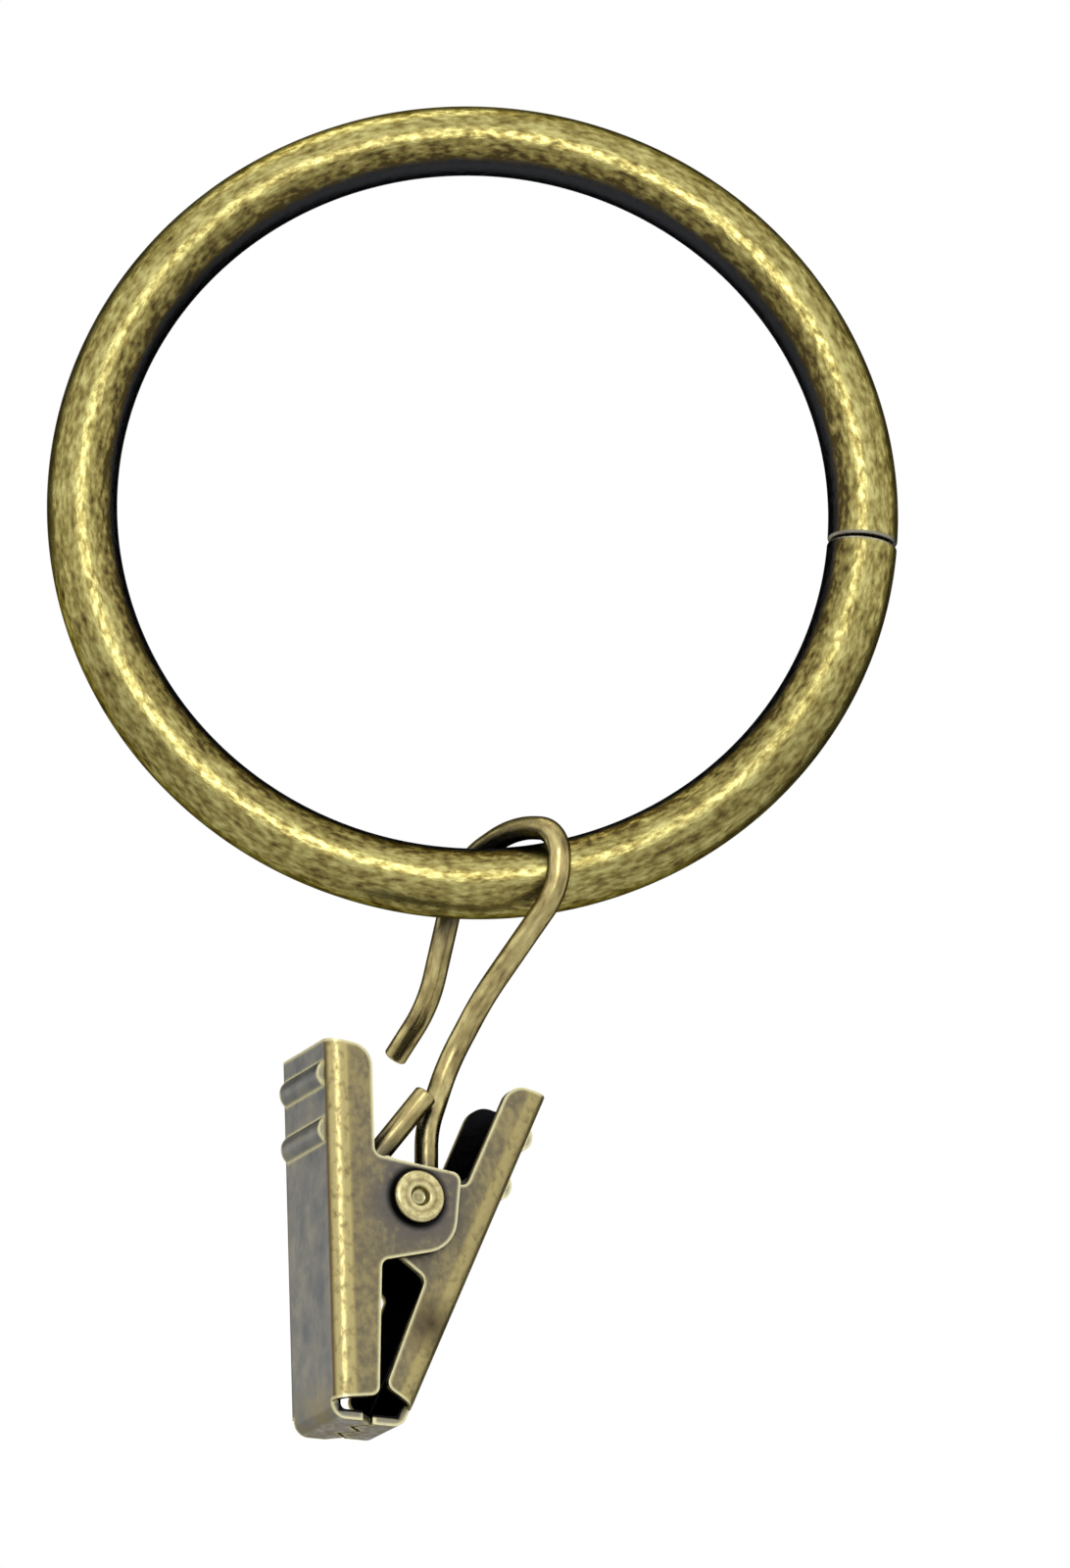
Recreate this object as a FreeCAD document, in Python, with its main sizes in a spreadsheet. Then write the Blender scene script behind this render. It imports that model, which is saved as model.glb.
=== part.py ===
import FreeCAD, Part
import math
import os
import Sketcher

V = FreeCAD.Vector

# Curtain ring with a clip, as it hangs from its rod, in millimetres and degrees
# The origin is the ring's centre, the ring stands in the XZ plane and +Z is up.
# The clip has its own frame at the rivet: p across the jaws, o along the rivet, q up.
# Each jaw has a frame as well: u from the web inward, v up along the web.

SIZES = {
    "ring_bore": 38.0,
    "ring_wire": 3.75,
    "seam_gap": 0.12,
    "seam_angle": 4.7,
    "seam_round": 0.3,
    "hook_wire": 1.25,
    "hook_seat": 0.1,
    "hook_place": 1.78,
    "clip_left": 4.18,
    "clip_drop": 17.85,
    "clip_yaw": 21.5,
    "clip_width": 6.6,
    "sheet": 0.5,
    "bend": 0.8,
    "nest_gap": 0.12,
    "rivet_body": 1.8,
    "rivet_head": 2.8,
    "rivet_roll": 0.5,
    "rivet_dimple": 1.1,
    "dimple_depth": 0.4,
    "rivet_play": 0.02,
    "pivot_play": 0.08,
    "ear_reach": 2.55,
    "ear_top": 2.15,
    "ear_slope": 0.7,
    "ear_foot": 3.45,
    "ear_round": 2.0,
    "ear_corner": 0.5,
    "handle_round": 1.2,
    "handle_slope": 0.4,
    "nose_drop": 11.9,
    "nose_corner": 0.5,
    "nose_taper": 0.35,
    "cheek_lift": 0.9,
    "seam_left": 2.2,
    "lip_gap": 0.25,
    "tooth_pitch": 1.7,
    "tooth_depth": 0.8,
    "rib_height": 0.35,
    "rib_low": 3.5,
    "rib_high": 6.5,
    "outer_lean": 2.0,
    "outer_reach": 4.8,
    "outer_handle": 8.3,
    "outer_depth": 2.45,
    "outer_nose": 2.7,
    "inner_lean": 23.5,
    "inner_reach": 4.6,
    "inner_handle": 9.0,
    "inner_depth": 2.2,
    "inner_nose": 2.25,
    "spring_wire": 0.5,
    "spring_play": 0.1,
    "spring_pitch": 0.55,
    "spring_gap": 0.125,
    "spring_side": 0.1,
    "spring_arm": 4.6,
    "eye_gap": 0.755,
    "eye_twist": 0.25,
}

# Bends of the hook's crown, as shares of the distance between the two wires' centres:
# x from the hook's place, y and z from the ring wire's centre, and the bend radius
CROWN = [
    (-0.90, 0.97, 0.67, 1.50),
    (0.16, -0.17, 1.17, 2.20),
    (1.03, -1.11, 0.86, 0.70),
    (1.00, -1.08, -0.39, 1.50),
]

# Steps down the hook's free leg from the crown's first bend, and the bend radius,
# as shares of the drop from the ring wire's centre to the rivet
FREE_LEG = [
    (-0.0896, 0.0964, -0.4062, 0.336),
    (-0.0958, 0.1025, -0.1361, 0.0),
]

# Bends of the shank as shares of the same drop: p, o, q from the eye's middle, and the radius
SHANK = [
    (0.2325, -0.0891, 0.6443, 1.120),
    (0.1597, 0.0056, 0.4538, 0.336),
    (0.0908, 0.0028, 0.2465, 0.336),
]

# Bends of the eye's loose end, told in the same way, as shares of the eye's radius
LOOSE_END = [
    (-0.9346, -0.1745, 1.5265, 0.81),
    (0.6854, -0.6854, 3.7383, 0.0),
]

document = FreeCAD.newDocument("CurtainRing")


# Sheet of sizes

def make_sheet():
    """Give every driving size a cell of its own with its name as the alias."""
    cells = document.addObject("Spreadsheet::Sheet", "Sizes")
    for row, (name, value) in enumerate(SIZES.items(), start=1):
        cells.set(f"A{row}", name)
        cells.set(f"B{row}", str(value))
        cells.setAlias(f"B{row}", name)
    document.recompute()
    return cells


sheet = make_sheet()


def size(name):
    return float(sheet.get(name))


def bind(item, prop, formula):
    """Tie a property to the sheet; each <name> in the formula is a cell."""
    item.setExpression(prop, formula.replace("<", "Sizes.").replace(">", ""))


# Places

def ring_radius():
    """Radius of the ring wire's centre line."""
    return (size("ring_bore") + size("ring_wire")) / 2


def clip_placement():
    """The clip's frame: at the rivet, turned about the vertical."""
    turn = FreeCAD.Rotation(V(0, 0, 1), size("clip_yaw"))
    return FreeCAD.Placement(V(-size("clip_left"), 0, -ring_radius() - size("clip_drop")), turn)


def inner_width():
    """Width over the inner jaw, which nests between the outer jaw's cheeks."""
    return size("clip_width") - 2 * size("sheet") - 2 * size("nest_gap")


def put_in_clip(item):
    """Set a piece into the clip's frame and tie it to the sheet."""
    item.Placement = clip_placement()
    bind(item, "Placement.Base.x", "-<clip_left> * 1 mm")
    bind(item, "Placement.Base.z", "-(<ring_bore> / 2 + <ring_wire> / 2 + <clip_drop>) * 1 mm")
    bind(item, "Placement.Rotation.Angle", "<clip_yaw> * 1 deg")


# Outlines, wires and features

def corner_arc(point, before, after, radius):
    """Start, middle and end of the arc that rounds a corner, or the corner itself."""
    if radius <= 0:
        return [point]
    to_before = (before - point).normalize()
    to_after = (after - point).normalize()
    half = to_before.getAngle(to_after) / 2
    reach = radius / math.tan(half)
    middle = (to_before + to_after).normalize() * (radius / math.sin(half) - radius)
    return [point + to_before * reach, point + middle, point + to_after * reach]


def joined_edges(arcs, closed):
    """Arcs and the straight runs between them."""
    edges = []
    for index, arc in enumerate(arcs):
        if len(arc) == 3:
            edges.append(Part.Arc(*arc))
        last_of_open = not closed and index == len(arcs) - 1
        following = arcs[(index + 1) % len(arcs)][0]
        if not last_of_open and (following - arc[-1]).Length > 1e-4:
            edges.append(Part.LineSegment(arc[-1], following))
    return edges


def outline(corners):
    """Closed outline with rounded corners, each given as x, y and radius."""
    points = [V(x, y, 0) for x, y, _ in corners]
    count = len(points)
    arcs = [corner_arc(points[i], points[i - 1], points[(i + 1) % count], corners[i][2])
            for i in range(count)]
    return joined_edges(arcs, True)


def sweep(path_edges, diameter):
    """Round wire of one diameter along a path."""
    path = Part.Wire([edge.toShape() for edge in path_edges])
    first = path_edges[0].toShape()
    start = first.valueAt(first.FirstParameter)
    along = first.tangentAt(first.FirstParameter)
    section = Part.Wire(Part.makeCircle(diameter / 2, start, along))
    return path.makePipeShell([section], True, False)


def bent_wire(bends, diameter):
    """Round wire along straight runs joined by tangent arcs: points with radii."""
    points = [point for point, _ in bends]
    arcs = [[points[0]]]
    for index in range(1, len(bends) - 1):
        arcs.append(corner_arc(points[index], points[index - 1], points[index + 1], bends[index][1]))
    arcs.append([points[-1]])
    return sweep(joined_edges(arcs, False), diameter)


def make_body(name):
    body = document.addObject("PartDesign::Body", name)
    body.Label = name
    return body


def sketch_on(body, name, plane, edges, lift=0.0):
    """Sketch of closed edges on one of the body's own planes."""
    sketch = body.newObject("Sketcher::SketchObject", name)
    own_plane = next(f for f in body.Origin.OriginFeatures if f.Role == plane)
    sketch.AttachmentSupport = [(own_plane, "")]
    sketch.MapMode = "FlatFace"
    sketch.AttachmentOffset = FreeCAD.Placement(V(0, 0, lift), FreeCAD.Rotation())
    sketch.addGeometry(edges, False)
    document.recompute()
    return sketch


def feature_of(body, kind, name, sketch, length, both_ways=True, reverse=False):
    """Pad or pocket of a sketch, with a length from the sheet."""
    feature = body.newObject(f"PartDesign::{kind}", name)
    feature.Profile = sketch
    feature.SideType = "Symmetric" if both_ways else "One side"
    feature.Reversed = reverse
    bind(feature, "Length", length)
    document.recompute()
    return feature


def fillet_of(body, name, base, edges, radius):
    fillet = body.newObject("PartDesign::Fillet", name)
    fillet.Base = (base, edges)
    bind(fillet, "Radius", radius)
    document.recompute()
    return fillet


def edge_names(shape, test):
    """Names of the edges that pass a test of their end points."""
    return [f"Edge{number}" for number, edge in enumerate(shape.Edges, start=1)
            if test([vertex.Point for vertex in edge.Vertexes])]


# Ring

def is_circle_seam(ends):
    """The rims of the ring's two end faces start and end at one point."""
    return len(ends) == 1


def make_ring():
    """A thick round wire bent to a circle, whose two ends meet at a seam."""
    body = make_body("ring")
    section = [Part.Circle(V(ring_radius(), 0, 0), V(0, 0, 1), size("ring_wire") / 2)]
    sketch = sketch_on(body, "ring_section", "XY_Plane", section)
    sketch.addConstraint(Sketcher.Constraint("Radius", 0, size("ring_wire") / 2))
    sketch.addConstraint(Sketcher.Constraint("PointOnObject", 0, 3, -1))
    sketch.addConstraint(Sketcher.Constraint("DistanceX", -1, 1, 0, 3, ring_radius()))
    bind(sketch, "Constraints[0]", "<ring_wire> / 2 * 1 mm")
    bind(sketch, "Constraints[2]", "(<ring_bore> + <ring_wire>) / 2 * 1 mm")
    bend = body.newObject("PartDesign::Revolution", "ring_bend")
    bend.Profile = sketch
    bend.ReferenceAxis = (sketch, ["V_Axis"])
    seam_turn = "<seam_gap> / (<ring_bore> / 2 + <ring_wire> / 2) * 180 / pi"
    bind(bend, "Angle", f"(360 - {seam_turn}) * 1 deg")
    document.recompute()
    fillet_of(body, "ring_ends", bend, edge_names(bend.Shape, is_circle_seam), "<seam_round>")
    body.Placement.Rotation = FreeCAD.Rotation(V(0, 1, 0), size("seam_angle"))
    bind(body, "Placement.Rotation.Angle", f"(<seam_angle> + {seam_turn} / 2) * 1 deg")
    return body


# Hook

def eye_radius():
    """Radius of the eye wire's centre line, a running fit round the rivet."""
    return size("rivet_body") / 2 + size("pivot_play") + size("hook_wire") / 2


def eye_place():
    """How far the eye's middle lies in front of the clip's, beside the near cheek."""
    return inner_width() / 2 - size("sheet") - size("eye_gap") - size("hook_wire") / 2


def make_hook():
    """One wire: free leg, crown over the ring, shank, and the eye round the rivet."""
    spacing = (size("ring_wire") + size("hook_wire")) / 2 + size("hook_seat")
    crown = [(V(size("hook_place") + x * spacing, y * spacing, z * spacing - ring_radius()),
              radius * spacing) for x, y, z, radius in CROWN]
    drop, middle, eye = size("clip_drop"), V(0, -eye_place(), 0), eye_radius()
    leg, point = [], crown[0][0]
    for x, y, z, radius in FREE_LEG:
        point = point + V(x, y, z) * drop
        leg.insert(0, (point, radius * drop))
    shank = [(middle + V(p, o, q) * drop, radius * drop) for p, o, q, radius in SHANK]
    loop = [(middle + V(eye, 0, -eye), eye * 0.98),
            (middle + V(-eye, -size("eye_twist"), -eye), eye * 0.98)]
    end = [(middle + V(p, o, q) * eye, radius * eye) for p, o, q, radius in LOOSE_END]
    clip = clip_placement()
    lower = [(clip.multVec(point), radius) for point, radius in shank + loop + end]
    hook = document.addObject("Part::Feature", "hook")
    hook.Label = "hook"
    hook.Shape = bent_wire(leg + crown + lower, size("hook_wire"))
    return hook


# Jaws

class Jaw:
    """One jaw of the clip: its sizes, and its own frame turned about the rivet."""

    def __init__(self, name, side, full, width):
        self.name = name
        self.side = side
        self.full = full
        self.width = width
        self.lean = math.radians(size(f"{name}_lean"))
        self.reach = size(f"{name}_reach")
        self.handle = size(f"{name}_handle")
        self.depth = size(f"{name}_depth")
        self.nose = size(f"{name}_nose")

    def at(self, u, v):
        """From the jaw's frame to the clip's p and q."""
        cos, sin = math.cos(self.lean), math.sin(self.lean)
        return self.side * (u * cos - v * sin), u * sin + v * cos

    def web_at(self, u, q):
        """The point of a line along the web that lies at height q."""
        v = (q - u * math.sin(self.lean)) / math.cos(self.lean)
        return self.at(u, v)

    def corners(self, listed):
        """Outline corners from u, v and radius to p, q and radius."""
        return [(*self.at(u, v), radius) for u, v, radius in listed]


def cheek_outline(jaw):
    """Side view of a jaw: handle above, ear round the rivet, nose below."""
    web, ear, top = -jaw.reach, size("ear_reach"), size("ear_top")
    bottom = (size("cheek_lift") - size("nose_drop") + jaw.reach * math.sin(jaw.lean)) / math.cos(jaw.lean)
    nose, corner = web + jaw.nose, size("nose_corner")
    return outline(jaw.corners([
        (web, bottom, 0),
        (nose - size("nose_taper"), bottom + corner / 2, corner),
        (nose, -size("ear_foot"), corner),
        (ear - size("ear_corner"), -ear, size("ear_round")),
        (ear, top - size("ear_slope"), size("ear_corner")),
        (web + jaw.depth, top, corner),
        (web + jaw.depth, jaw.handle - size("handle_slope"), size("handle_round")),
        (web, jaw.handle, 0),
    ]))


def lip_outline(jaw):
    """Edge view of the web's end, folded inward under the mouth."""
    web, inside, sheet_thickness = -jaw.reach, size("sheet") - jaw.reach, size("sheet")
    low, seam = -size("nose_drop"), -size("seam_left")
    start = low + size("cheek_lift") + size("bend")
    tip = seam + jaw.side * size("tooth_depth")
    return outline([
        (*jaw.web_at(web, start), 0),
        (*jaw.web_at(web, low), size("bend")),
        (tip, low, 0),
        (tip, low + sheet_thickness, 0),
        (*jaw.web_at(inside, low + sheet_thickness), size("bend") - sheet_thickness),
        (*jaw.web_at(inside, start), 0),
    ])


def teeth_outline(jaw):
    """Zigzag beyond which the lip is cut away; the two jaws' zigzags run side by side."""
    half_pitch = size("tooth_pitch") / 2
    seam = -size("seam_left") - jaw.side * size("lip_gap") / 2
    count = math.ceil(jaw.full / 2 / half_pitch) + 1
    beyond = seam + jaw.side * 2 * size("tooth_depth")
    points = [(seam + (-1) ** step * size("tooth_depth") / 2, step * half_pitch, 0)
              for step in range(-count, count + 1)]
    return outline([(beyond, -count * half_pitch, 0)] + points + [(beyond, count * half_pitch, 0)])


def rib_outline(jaw, height, radius, whole):
    """Round rib across the web, centred on the web's inner face."""
    centre_u = size("sheet") - jaw.reach
    centre = V(*jaw.at(centre_u, height), 0)
    if whole:
        return [Part.Circle(centre, V(0, 0, 1), radius)]
    ends = [V(*jaw.at(centre_u, height + way * radius), 0) for way in (1, -1)]
    crest = V(*jaw.at(centre_u - radius, height), 0)
    return [Part.Arc(ends[0], crest, ends[1]), Part.LineSegment(ends[1], ends[0])]


def make_jaw(jaw):
    """Stamped sheet folded to a channel, with ribs on the handle and a toothed lip."""
    body = make_body(f"{jaw.name}_jaw")
    name, width, sheet_thickness = jaw.name, jaw.width, size("sheet")
    blank = feature_of(body, "Pad", f"{name}_blank",
                       sketch_on(body, f"{name}_side", "XZ_Plane", cheek_outline(jaw)), width)
    far = jaw.handle + jaw.reach
    hollow = outline(jaw.corners([
        (sheet_thickness - jaw.reach, -size("nose_drop") - far, 0), (far, -size("nose_drop") - far, 0),
        (far, far, 0), (sheet_thickness - jaw.reach, far, 0)]))
    channel = feature_of(body, "Pocket", f"{name}_channel",
                         sketch_on(body, f"{name}_hollow", "XZ_Plane", hollow), f"{width} - 2 * <sheet>")
    inside = bend_edges(channel.Shape, jaw, sheet_thickness - jaw.reach, jaw.full / 2 - sheet_thickness)
    inner_bend = fillet_of(body, f"{name}_inner_bend", channel, inside, "<bend> - <sheet>")
    outside = bend_edges(inner_bend.Shape, jaw, -jaw.reach, jaw.full / 2)
    fillet_of(body, f"{name}_outer_bend", inner_bend, outside, "<bend>")
    feature_of(body, "Pad", f"{name}_lip",
               sketch_on(body, f"{name}_fold", "XZ_Plane", lip_outline(jaw)), f"{width} - 2 * <bend>")
    feature_of(body, "Pocket", f"{name}_teeth",
               sketch_on(body, f"{name}_zigzag", "XY_Plane", teeth_outline(jaw),
                         -size("nose_drop") - sheet_thickness),
               "2 * <sheet> + <cheek_lift> / 4", False, True)
    for place in ("low", "high"):
        height = size(f"rib_{place}")
        crest = sheet_thickness + size("rib_height")
        feature_of(body, "Pad", f"{name}_rib_{place}",
                   sketch_on(body, f"{name}_crest_{place}", "XZ_Plane",
                             rib_outline(jaw, height, crest, False)), f"{width} - 2 * <bend>")
        feature_of(body, "Pocket", f"{name}_groove_{place}",
                   sketch_on(body, f"{name}_dent_{place}", "XZ_Plane",
                             rib_outline(jaw, height, size("rib_height"), True)),
                   f"{width} - 2 * <bend> - 2 * <sheet>")
    play = size("rivet_play") if name == "outer" else size("pivot_play")
    hole = [Part.Circle(V(0, 0, 0), V(0, 0, 1), size("rivet_body") / 2 + play)]
    feature_of(body, "Pocket", f"{name}_holes",
               sketch_on(body, f"{name}_bore", "XZ_Plane", hole), f"{width} + 2 * <sheet>")
    put_in_clip(body)
    return body


def bend_edges(shape, jaw, u, half_width):
    """The two long edges along the web at one depth and half width."""
    close = 1e-4

    def along_web(ends):
        level = [abs(abs(end.y) - half_width) < close for end in ends]
        on_line = [abs(end.x - jaw.web_at(u, end.z)[0]) < close for end in ends]
        return all(level + on_line) and abs(ends[0].y - ends[-1].y) < close
    return edge_names(shape, along_web)


# Rivet

def make_rivet():
    """Rivet through both jaws and the eye: a plain head behind, a rolled one in front."""
    body = make_body("rivet")
    shaft, dimple, head = (size(name) / 2 for name in ("rivet_body", "rivet_dimple", "rivet_head"))
    seat, roll = size("clip_width") / 2, size("rivet_roll")
    face, floor = -seat - roll, size("dimple_depth") - seat - roll
    plain_head = [(0, seat + roll, 0), (head, seat + roll, roll * 0.7), (head, seat, roll / 5), (shaft, seat, 0)]
    rolled_head = [(shaft, -seat, 0), (head, -seat, roll / 5), (head, face, roll / 2),
                   (dimple, face, roll / 4), (dimple * 0.7, floor, roll / 4), (0, floor, 0)]
    section = sketch_on(body, "rivet_section", "XY_Plane", outline(plain_head + rolled_head))
    turn = body.newObject("PartDesign::Revolution", "rivet_turn")
    turn.Profile = section
    turn.ReferenceAxis = (section, ["V_Axis"])
    document.recompute()
    put_in_clip(body)
    return body


# Spring

def spring_foot(jaw):
    """Where a spring arm rests on the inside of a jaw's handle."""
    u = size("sheet") - jaw.reach + size("spring_wire") / 2 + size("spring_play") / 2
    return V(*jaw.at(u, size("spring_arm")), 0)


def spring_place():
    """Where the coil starts, just behind the hook's eye."""
    return (size("hook_wire") + size("spring_wire")) / 2 + size("spring_gap") - eye_place()


def make_spring(outer, inner):
    """Torsion spring round the rivet whose arms press the two handles apart.

    It has as many turns as fit between the hook's eye and the far cheek.
    """
    radius = size("rivet_body") / 2 + size("spring_play") + size("spring_wire") / 2
    feet = [spring_foot(outer), spring_foot(inner)]
    angles = [math.atan2(foot.y, foot.x) + way * math.acos(radius / foot.Length)
              for foot, way in zip(feet, (1, -1))]
    start = spring_place()
    room = inner_width() / 2 - size("sheet") - size("spring_side") - size("spring_wire") / 2 - start
    part_turn = (angles[1] - angles[0]) / (2 * math.pi)
    sweep_angle = (math.floor(room / size("spring_pitch") - part_turn) + part_turn) * 2 * math.pi
    steps = 4 * math.ceil(sweep_angle / math.pi)
    half_step = sweep_angle / steps / 2
    rise = size("spring_pitch") / (2 * math.pi)
    bends = [(V(feet[0].x, start, feet[0].y), 0)]
    for step in range(steps):
        turned = (2 * step + 1) * half_step
        corner, angle = radius / math.cos(half_step), angles[0] + turned
        bends.append((V(corner * math.cos(angle), start + rise * turned, corner * math.sin(angle)),
                      radius * 0.98))
    bends.append((V(feet[1].x, start + rise * sweep_angle, feet[1].y), 0))
    spring = document.addObject("Part::Feature", "spring")
    spring.Label = "spring"
    spring.Shape = bent_wire(bends, size("spring_wire"))
    put_in_clip(spring)
    return spring


# All pieces, tested and written

def check_and_write(pieces):
    document.recompute()
    for item in document.Objects:
        if "Invalid" in item.State or "Error" in item.State:
            raise RuntimeError(f"{item.Name} failed: {item.State}")
    os.makedirs("parts", exist_ok=True)
    for piece in pieces:
        shape = piece.Shape
        if shape.isNull() or not shape.isValid() or len(shape.Solids) != 1:
            raise RuntimeError(f"{piece.Label} is not one valid solid")
        shape.exportStep(f"parts/{piece.Label}.step")
        print(f"{piece.Label}: {shape.Volume:.2f} mm3, {len(shape.Faces)} faces")


outer_jaw = Jaw("outer", 1, size("clip_width"), "<clip_width>")
inner_jaw = Jaw("inner", -1, inner_width(), "(<clip_width> - 2 * <sheet> - 2 * <nest_gap>)")
check_and_write([
    make_ring(),
    make_hook(),
    make_jaw(outer_jaw),
    make_jaw(inner_jaw),
    make_rivet(),
    make_spring(outer_jaw, inner_jaw),
])
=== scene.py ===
# %% [markdown]
# # A curtain ring with a clip, in antique brass
#
# The object is a thick bent-wire ring that slides on a curtain rod. A thinner wire hook hangs
# on it, and the hook's eye holds a small sprung clip of folded sheet with toothed lips.
# The CAD model is loaded first and fixes every size and place. The two jaws and the rivet
# keep the model's own meshes, and the three bent wires are drawn again as finer surfaces.
# Then each piece gets its finish: brass, dark in its hollows and worn bright on its edges.

# %% Load the model
import math

import bpy
import numpy as np
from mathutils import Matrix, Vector


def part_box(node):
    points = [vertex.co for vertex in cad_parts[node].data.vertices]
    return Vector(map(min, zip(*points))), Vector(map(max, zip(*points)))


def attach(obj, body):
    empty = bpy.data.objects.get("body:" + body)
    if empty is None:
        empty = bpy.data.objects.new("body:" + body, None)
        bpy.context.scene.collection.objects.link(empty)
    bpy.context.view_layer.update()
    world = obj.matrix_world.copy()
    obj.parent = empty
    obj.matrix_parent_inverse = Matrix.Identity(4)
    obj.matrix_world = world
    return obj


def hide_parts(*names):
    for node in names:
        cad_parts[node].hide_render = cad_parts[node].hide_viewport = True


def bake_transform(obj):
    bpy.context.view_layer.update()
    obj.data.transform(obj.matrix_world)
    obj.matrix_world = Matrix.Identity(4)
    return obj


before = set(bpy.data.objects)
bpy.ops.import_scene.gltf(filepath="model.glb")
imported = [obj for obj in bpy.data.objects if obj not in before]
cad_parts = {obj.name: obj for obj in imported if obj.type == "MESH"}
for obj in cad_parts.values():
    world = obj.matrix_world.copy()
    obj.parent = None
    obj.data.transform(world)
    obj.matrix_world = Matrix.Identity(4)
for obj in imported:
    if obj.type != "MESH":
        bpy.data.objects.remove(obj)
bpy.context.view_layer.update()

bpy.context.scene.view_settings.view_transform = "Standard"
print("nodes:", sorted(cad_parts))

# %% [markdown]
# ## Sizes of the ring
#
# A wire that is drawn again has to be as large as the model's, so its sizes are named here
# once more, in metres. The width that follows from the wire and the circle is printed beside
# the width of the loaded node, and the two have to agree.

# %% Sizes of the ring
MM = 0.001
RING_WIRE = 3.75 * MM
RING_BORE = 38.0 * MM
RING_RADIUS = (RING_BORE + RING_WIRE) / 2
SEAM_GAP = 0.12 * MM
SEAM_ANGLE = math.radians(4.7)
SEAM_ROUND = 0.2 * MM

ring_low, ring_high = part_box("ring")
print("ring across:", RING_RADIUS * 2 + RING_WIRE, "in the model:", ring_high[0] - ring_low[0])

# %% [markdown]
# ## A round wire as a surface
#
# Wire is drawn through a die, so its section is a true circle all along. A curve object with
# a bevel would do, but a surface on a grid of two numbers, the way along and the way round,
# carries its own UV map in real lengths. The speckle of the plating can then follow the wire
# through every bend. A cut end is a flat face with its rim a little rounded by tumbling: near
# it the radius follows a quarter circle, and a few more rows close the face to one point.

# %% A grid along a wire
RIM_STEPS = np.array([0.0, 0.02, 0.15, 0.4, 0.7, 1.0])
FACE_STEPS = np.array([0.0, 0.45, 0.8])
CLEAR_OF_RIM = 1.2


def wire_surface(path, reference, radius, rim, around):
    """Grid of points c + r(s)*(n1*cos(a) + n2*sin(a)), and the way s along for each row.

    c is the path, n1 = tangent x reference and n2 = tangent x n1, all of length one. The
    radius r(s) is the wire's own, less rim - sqrt(rim^2 - (rim - d)^2) where the distance d
    from an end is less than rim. On the end's flat face it shrinks to nothing, a pole.
    """
    steps = np.linalg.norm(np.diff(path, axis=0), axis=1)
    length = np.concatenate([[0], np.cumsum(steps)])
    ends = RIM_STEPS * rim
    clear = rim * CLEAR_OF_RIM
    inner = length[(length > clear) & (length < length[-1] - clear)]
    s = np.concatenate([ends, inner, length[-1] - ends[::-1]])
    centre = np.stack([np.interp(s, length, path[:, k]) for k in range(3)], axis=1)
    tangent = np.gradient(centre, s, axis=0)
    tangent /= np.linalg.norm(tangent, axis=1)[:, None]
    first = np.cross(tangent, reference)
    first /= np.linalg.norm(first, axis=1)[:, None]
    second = np.cross(tangent, first)
    near = np.minimum(np.minimum(s, length[-1] - s), rim)
    own = radius - (rim - np.sqrt(rim ** 2 - (rim - near) ** 2))
    face = len(FACE_STEPS)
    rows = np.concatenate([np.zeros(face, int), np.arange(len(s)), np.full(face, len(s) - 1)])
    radii = np.concatenate([own[0] * FACE_STEPS, own, own[-1] * FACE_STEPS[::-1]])
    angle = np.linspace(0, 2 * math.pi, around, endpoint=False)[:, None]
    outward = first[rows][:, None] * np.cos(angle) + second[rows][:, None] * np.sin(angle)
    points = centre[rows][:, None] + radii[:, None, None] * outward
    return points, s[rows]


print("rows that close each end of a wire:", len(RIM_STEPS) + len(FACE_STEPS))

# %% [markdown]
# ### Faces and map of a wire
#
# Blender needs the points of the grid as one list, the faces as lists of point numbers and
# one UV place for each corner of each face. All three are worked out as whole arrays.


# %% Faces of a wire
def wire_faces(rows, around):
    """Quads between neighbouring rows, and a fan of triangles from each end row to its pole.

    Point j of row i has the number i*around + j, and the two poles have the next two.
    """
    i, j = np.meshgrid(np.arange(rows - 1), np.arange(around), indexing="ij")
    after = (j + 1) % around
    quads = np.stack([i * around + j, (i + 1) * around + j,
                      (i + 1) * around + after, i * around + after], axis=-1).reshape(-1, 4)
    turn = np.arange(around)
    next_turn = (turn + 1) % around
    last = (rows - 1) * around
    low = np.stack([np.full(around, rows * around), turn, next_turn], axis=1)
    high = np.stack([np.full(around, rows * around + 1), last + next_turn, last + turn], axis=1)
    return quads.tolist() + low.tolist() + high.tolist()


print("faces of 3 rows of 8 points:", len(wire_faces(3, 8)))


# %% Map and mesh of a wire
def wire_map(along, around, radius):
    """UV of every face corner in millimetres: u is the way along, v the radius times the angle."""
    u = along / MM
    step = radius * 2 * math.pi / around / MM
    i, j = np.meshgrid(np.arange(len(along) - 1), np.arange(around), indexing="ij")
    low_v, high_v = j * step, (j + 1) * step
    quads = np.stack([np.stack([u[i], low_v], -1), np.stack([u[i + 1], low_v], -1),
                      np.stack([u[i + 1], high_v], -1), np.stack([u[i], high_v], -1)], axis=2)
    fan = np.zeros((around, 3, 2))
    fan[:, 1, 1] = np.arange(around) * step
    fan[:, 2, 1] = (np.arange(around) + 1) * step
    far_fan = fan[:, [0, 2, 1]] + [u[-1], 0]
    return np.concatenate([quads.reshape(-1, 2), fan.reshape(-1, 2), far_fan.reshape(-1, 2)])


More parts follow.
